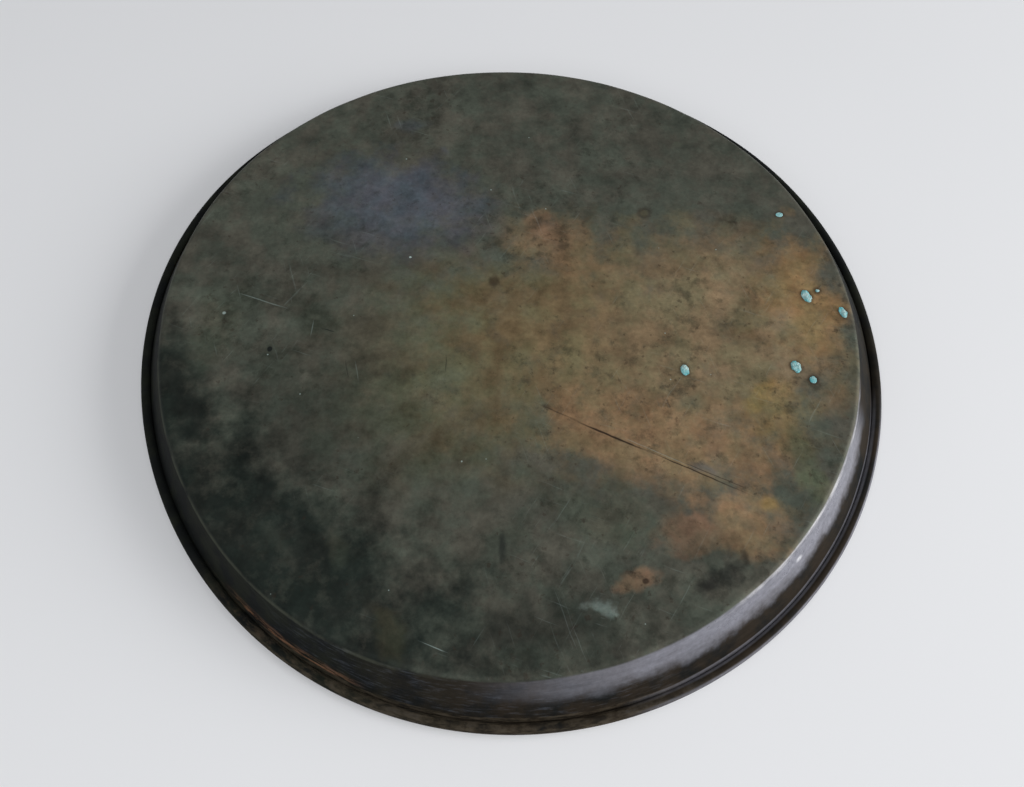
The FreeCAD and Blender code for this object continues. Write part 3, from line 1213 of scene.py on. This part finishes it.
@dataclass(frozen=True)
class RustedIron:
    """Iron wire, dark and pitted with rust."""

    grain: Cloud = Cloud(1.6, 5.0, 0.7)
    cloud: Cloud = Cloud(9, 4.0, 0.6)
    rust_span: Span = (0.4, 0.62)
    iron: Colour = (0.03, 0.022, 0.018)
    rust: Colour = (0.16, 0.065, 0.028)
    grain_light: Swing = Swing(0.6, 0.8)
    roughness: Swing = Swing(0.6, 0.3)
    metallic: float = 0.3
    relief_depth: float = 0.2 * MM

    def material(self) -> bpy.types.Material:
        """Builds the finish.

        Returns:
            The material.
        """
        desk = ShaderDesk("rusted_iron")
        place = desk.place()
        grain = desk.noise(place, self.grain)
        cloud = desk.noise(place, self.cloud)
        colour = desk.mixed(desk.step(cloud, *self.rust_span), self.iron, self.rust)
        surface = {
            "Base Color": desk.scaled(colour, self.grain_light.by(grain)),
            "Roughness": self.roughness.by(cloud - 0.5),
            "Metallic": self.metallic,
        }
        return desk.finish(surface, grain, self.relief_depth)


@dataclass(frozen=True)
class Verdigris:
    """A crust of copper salts: powdery turquoise, whiter where it stands highest, partly paler salt
    and partly a painted highlight.
    """

    foot: float
    grain: Cloud = Cloud(0.9, 5.0, 0.7)
    cloud: Cloud = Cloud(4, 3.0, 0.6)
    chalk_span: Span = (0.35, 0.75)
    ragged_mm: float = 0.8
    rise: float = 1.1 * MM
    top_strength: float = 0.35
    grain_light: Swing = Swing(0.7, 0.6)
    roughness: float = 0.9
    relief_depth: float = 0.25 * MM

    def material(self) -> bpy.types.Material:
        """Builds the finish.

        Returns:
            The material.
        """
        desk = ShaderDesk("verdigris")
        place = desk.place()
        level = desk.node("SeparateXYZ", {}, {0: place}, "Z")
        grain = desk.noise(place, self.grain)
        cloud = desk.step(desk.noise(place, self.cloud), *self.chalk_span)
        colour = desk.mixed(cloud, Tone.VERDIGRIS.value, Tone.CHALK.value)
        height = level + (grain - 0.5) * self.ragged_mm * MM
        # Chalk on the crust's top: paler salt, and a painted highlight where it stands highest.
        raised = desk.step(height, self.foot, self.foot + self.rise)
        colour = desk.mixed(raised * self.top_strength, colour, Tone.CHALK.value)
        surface = {
            "Base Color": desk.scaled(colour, self.grain_light.by(grain)),
            "Roughness": self.roughness,
            "Metallic": 0.0,
        }
        return desk.finish(surface, grain, self.relief_depth)


@dataclass(frozen=True)
class PaleTable:
    """The plain pale floor that the tray stands on."""

    cloud: Cloud = Cloud(200, 2.0, 0.5)
    dark: Colour = (0.855, 0.86, 0.875)
    light: Colour = (0.875, 0.88, 0.895)
    roughness: float = 0.8
    specular: float = 0.2

    def material(self) -> bpy.types.Material:
        """Builds the finish.

        Returns:
            The material.
        """
        desk = ShaderDesk("pale_table")
        cloud = desk.noise(desk.place(), self.cloud)
        surface = {
            "Base Color": desk.mixed(cloud, self.dark, self.light),
            "Roughness": self.roughness,
            "Metallic": 0.0,
            "Specular IOR Level": self.specular,
        }
        return desk.finish(surface)


# ---------------------------------------------------------------------------------------------
# The tray's pieces
# ---------------------------------------------------------------------------------------------


@dataclass(frozen=True)
class Crust:
    """One crust of verdigris on the base, in millimetres, with a dark border round it."""

    x: float
    y: float
    width: float
    depth: float
    thickness: float
    turn: float
    border: float = 2.4
    border_strength: float = 0.65
    border_softness: float = 0.60

    def halo(self) -> Patch:
        """The dark, reddish border, as a mark on the base."""
        size = (self.width / 2 + self.border, self.depth / 2 + self.border)
        finish = (Tone.DARK_BROWN, self.border_strength, self.border_softness)
        return Patch(self.x, self.y, *size, self.turn, *finish)


@dataclass
class RimWire:
    """The iron wire that the rim is rolled round: one length, bent to a ring."""

    form: TrayForm
    gap: float = 1.0 * MM
    sides: int = 16
    steps: int = 240

    def build(self) -> bpy.types.Object:
        """Bends the wire, with its two ends apart at the back.

        Returns:
            The piece that stands for the rim wire.
        """
        form = self.form
        clear_selection()
        bpy.ops.mesh.primitive_circle_add(
            vertices=self.sides, radius=form.wire_radius, fill_type="NGON",
            location=form.wire_centre, rotation=(math.radians(90), 0.0, 0.0),
        )
        wire = bpy.context.active_object
        wire.name = wire.data.name = "wire_ring"
        bpy.ops.object.transform_apply(location=True, rotation=True, scale=True)
        missing = self.gap / form.wire_centre.x
        bpy.ops.object.mode_set(mode="EDIT")
        bpy.ops.mesh.select_all(action="SELECT")
        bpy.ops.transform.rotate(
            value=-(math.pi / 2 + missing / 2), orient_axis="Z", center_override=(0.0, 0.0, 0.0)
        )
        bpy.ops.mesh.spin(
            steps=self.steps, angle=math.tau - missing,
            center=(0.0, 0.0, 0.0), axis=(0.0, 0.0, -1.0),
        )
        close_turned_mesh(wire)
        form.beaten(wire)
        smooth_faces(wire)
        dress(wire, RustedIron().material())
        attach(wire, ROOT)
        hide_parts("rim_wire")
        return wire


@dataclass
class Growth:
    """The crusts of verdigris that grew on the base."""

    level: float
    crusts: tuple[Crust, ...] = (
        Crust(169, 14, 5.4, 8.4, 0.9, 18),
        Crust(188, 3.5, 4.2, 7.4, 0.8, 15),
        Crust(156, -32, 5.2, 7.6, 0.9, 14),
        Crust(164, -40, 3.8, 4.4, 0.5, 0),
        Crust(95, -35, 4.8, 6.6, 0.7, 8),
        Crust(162, 73, 4.4, 3.4, 0.2, 10),
        Crust(176, 18, 2.4, 2.0, 0.5, 0),
    )
    root_depth: float = 0.3 * MM
    root_squash: float = 0.1
    subdivisions: int = 5
    lump_size: float = 1.6 * MM
    lump_reach: float = 1.4
    lump_middle: float = 0.55

    def halos(self) -> tuple[Patch, ...]:
        """The dark borders round the crusts."""
        return tuple(crust.halo() for crust in self.crusts)

    def build(self) -> list[bpy.types.Object]:
        """Makes the crusts, each flat below and lumpy above.

        Returns:
            The crusts.
        """
        lumps = bpy.data.textures.new("crust_lumps", "CLOUDS")
        lumps.noise_scale = self.lump_size
        finish = Verdigris(self.level).material()
        return [self.lump(f"verdigris_crust_{number}", crust, lumps, finish)
                for number, crust in enumerate(self.crusts, start=1)]

    def lump(
        self, name: str, crust: Crust, lumps: bpy.types.Texture, finish: bpy.types.Material
    ) -> bpy.types.Object:
        """Makes one crust.

        Args:
            name: The name of the new piece.
            crust: Its place and sizes.
            lumps: The noise that roughens it.
            finish: Its finish.

        Returns:
            The crust, sunk a little into the base.
        """
        clear_selection()
        bpy.ops.mesh.primitive_ico_sphere_add(subdivisions=self.subdivisions, radius=1.0)
        piece = bpy.context.active_object
        piece.name = piece.data.name = name
        piece.scale = (crust.width * MM / 2, crust.depth * MM / 2, crust.thickness * MM)
        piece.rotation_euler.z = math.radians(crust.turn)
        piece.location = (crust.x * MM, crust.y * MM, self.level)
        bpy.ops.object.transform_apply(location=True, rotation=True, scale=True)
        apply_modifier(
            piece, "DISPLACE", texture=lumps, texture_coords="LOCAL",
            strength=crust.thickness * MM * self.lump_reach, mid_level=self.lump_middle,
        )
        root = self.level - self.root_depth
        make_active(piece)
        bpy.ops.object.mode_set(mode="EDIT")
        select_vertices(piece, lambda place: place.z < root)
        bpy.ops.transform.resize(
            value=(1.0, 1.0, self.root_squash), center_override=(0.0, 0.0, root)
        )
        bpy.ops.object.mode_set(mode="OBJECT")
        smooth_faces(piece)
        dress(piece, finish)
        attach(piece, ROOT)
        return piece


@dataclass
class Tray:
    """The tray itself: the copper sheet and its tin, with the rim's wire and the crusts on it."""

    form: TrayForm
    wire: RimWire
    growth: Growth
    buckle_size: float = 45 * MM
    buckle_depth: float = 0.5 * MM

    def build(self) -> list[bpy.types.Object]:
        """Makes every piece of the tray.

        Returns:
            The pieces, dressed and ready to ride.
        """
        skin = self.waved_skin()
        shell = self.copper_shell(skin)
        tin = self.tin_skin(skin)
        bpy.data.objects.remove(skin)
        return [shell, tin, self.wire.build(), *self.growth.build()]

    def waved_skin(self) -> bpy.types.Object:
        """The outer face of the sheet, gently buckled, with no thickness.

        Returns:
            The skin that copper and tin are both made from.
        """
        skin = self.form.turned_sheet("outer_face")
        group = skin.vertex_groups.new(name="open_sheet")
        rows = [v.index for v in skin.data.vertices if self.form.above_bead(v.co)]
        group.add(rows, 1.0, "REPLACE")
        buckles = bpy.data.textures.new("buckles", "CLOUDS")
        buckles.noise_scale = self.buckle_size
        buckles.noise_depth = 1
        apply_modifier(
            skin, "DISPLACE", texture=buckles, texture_coords="LOCAL",
            strength=self.buckle_depth, mid_level=0.5, vertex_group=group.name,
        )
        return skin

    def copper_shell(self, skin: bpy.types.Object) -> bpy.types.Object:
        """The copper sheet with its thickness and its rolled rim.

        Args:
            skin: The outer face of the sheet.

        Returns:
            The piece that stands for the copper pan.
        """
        shell = self.copied(skin, "copper_shell")
        apply_modifier(
            shell, "SOLIDIFY", thickness=self.form.sheet, offset=-1.0, use_even_offset=True,
        )
        self.form.beaten(shell)
        smooth_faces(shell)
        finish = CopperPatina(BasePatina(self.growth.halos()), WallPatina(self.form.height))
        dress(shell, finish.material())
        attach(shell, ROOT)
        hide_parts("copper_pan")
        return shell

    def tin_skin(self, skin: bpy.types.Object) -> bpy.types.Object:
        """The tin on the food side, from the middle of the base to where the curl starts.

        Args:
            skin: The outer face of the sheet.

        Returns:
            The piece that stands for the tin lining.
        """
        tin = self.copied(skin, "tin_skin")
        make_active(tin)
        bpy.ops.object.mode_set(mode="EDIT")
        bpy.ops.mesh.select_all(action="DESELECT")
        bpy.ops.object.vertex_group_select()
        bpy.ops.mesh.select_all(action="INVERT")
        bpy.ops.mesh.delete(type="VERT")
        bpy.ops.mesh.select_all(action="SELECT")
        bpy.ops.transform.shrink_fatten(value=-self.form.sheet, use_even_offset=True)
        bpy.ops.object.mode_set(mode="OBJECT")
        apply_modifier(
            tin, "SOLIDIFY", thickness=self.form.tin, offset=-1.0, use_even_offset=True,
        )
        self.form.beaten(tin)
        smooth_faces(tin)
        dress(tin, WipedTin().material())
        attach(tin, ROOT)
        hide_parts("tin_lining")
        return tin

    @staticmethod
    def copied(source: bpy.types.Object, name: str) -> bpy.types.Object:
        """A copy of a piece with a mesh of its own.

        Args:
            source: The piece to copy.
            name: The name of the copy.

        Returns:
            The copy.
        """
        piece = source.copy()
        piece.data = source.data.copy()
        piece.name = piece.data.name = name
        bpy.context.scene.collection.objects.link(piece)
        return piece


# ---------------------------------------------------------------------------------------------
# The studio
# ---------------------------------------------------------------------------------------------


@dataclass(frozen=True)
class Softbox:
    """A white area light that looks at the tray: where it stands, its size and its power."""

    name: str
    bearing: float
    elevation: float
    distance: float
    width: float
    height: float
    power: float

    def build(self) -> bpy.types.Object:
        """Adds the light.

        Returns:
            The light's object.
        """
        data = bpy.data.lights.new(self.name, "AREA")
        data.shape = "RECTANGLE"
        data.size = self.width
        data.size_y = self.height
        data.energy = self.power
        light = bpy.data.objects.new(self.name, data)
        bpy.context.scene.collection.objects.link(light)
        turn, rise = math.radians(self.bearing), math.radians(self.elevation)
        out = math.cos(rise)
        away = Vector((math.cos(turn) * out, math.sin(turn) * out, math.sin(rise)))
        light.location = away * self.distance
        light.rotation_euler = away.to_track_quat("Z", "Y").to_euler()
        return light


@dataclass
class Studio:
    """Pale table, soft window light and the camera."""

    table_radius: float = 3.0
    table_drop: float = 0.05 * MM
    table_sides: int = 96
    world_colour: Colour = (0.95, 0.97, 1.0)
    world_strength: float = 0.335
    camera_distance: float = 463.9 * MM
    camera_elevation: float = 59.14
    pan: float = -0.16
    tilt: float = -4.13
    roll: float = -0.70
    lens: float = 27.42
    sensor: float = 36.0
    nearest: float = 10 * MM
    lights: tuple[Softbox, ...] = (
        Softbox("window", -5, 20, 3.5, 2.6, 1.8, 106),
        Softbox("room", -100, 55, 2.0, 2.0, 2.0, 16),
    )

    def build(self) -> None:
        """Sets up table, lights, sky and camera."""
        self.add_table()
        for light in self.lights:
            light.build()
        self.set_world()
        self.add_camera()
        bpy.context.scene.view_settings.view_transform = "Standard"

    def add_table(self) -> None:
        """Adds the table top just under the rim."""
        clear_selection()
        bpy.ops.mesh.primitive_circle_add(
            vertices=self.table_sides, radius=self.table_radius, fill_type="NGON",
            location=(0.0, 0.0, -self.table_drop),
        )
        table = bpy.context.active_object
        table.name = table.data.name = "pale_table"
        bpy.ops.object.transform_apply(location=True, rotation=True, scale=True)
        dress(table, PaleTable().material())

    def set_world(self) -> None:
        """Gives the room above the table an even, dim light."""
        world = bpy.data.worlds.new("room_light")
        world.use_nodes = True
        background = world.node_tree.nodes["Background"]
        background.inputs["Color"].default_value = (*self.world_colour, 1.0)
        background.inputs["Strength"].default_value = self.world_strength
        bpy.context.scene.world = world

    def add_camera(self) -> None:
        """Adds the camera, aimed a little off the tray's middle."""
        data = bpy.data.cameras.new("camera")
        data.lens = self.lens
        data.sensor_width = self.sensor
        data.sensor_fit = "HORIZONTAL"
        data.clip_start = self.nearest
        camera = bpy.data.objects.new("camera", data)
        bpy.context.scene.collection.objects.link(camera)
        rise = math.radians(self.camera_elevation)
        away = Vector((0.0, -math.cos(rise), math.sin(rise)))
        aim = away.to_track_quat("Z", "Y")
        turns = (((0, 1, 0), self.pan), ((1, 0, 0), self.tilt), ((0, 0, 1), -self.roll))
        for axis, degrees in turns:
            aim = aim @ Quaternion(axis, math.radians(degrees))
        place = Matrix.Translation(away * self.camera_distance)
        camera.matrix_world = place @ aim.to_matrix().to_4x4()
        bpy.context.scene.camera = camera


def measured(value: float) -> float:
    """A size read off a meshed node, rounded to the tenth of a millimetre that it was drawn to."""
    return round(value / MM, 1) * MM


def main() -> None:
    """Builds the tray and the studio, and reports each piece."""
    logging.basicConfig(level=logging.INFO, format="%(message)s")
    pan_low, pan_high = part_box("copper_pan")
    wire_low, wire_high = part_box("rim_wire")
    form = TrayForm(
        rim_radius=measured(pan_high.x),
        height=measured(pan_high.z),
        wire_low=measured(wire_low.z),
        wire_high=measured(wire_high.z),
    )
    for piece in Tray(form, RimWire(form), Growth(form.height)).build():
        LOG.info("%s: %d faces", piece.name, len(piece.data.polygons))
    Studio().build()


if __name__ == "__main__":
    main()
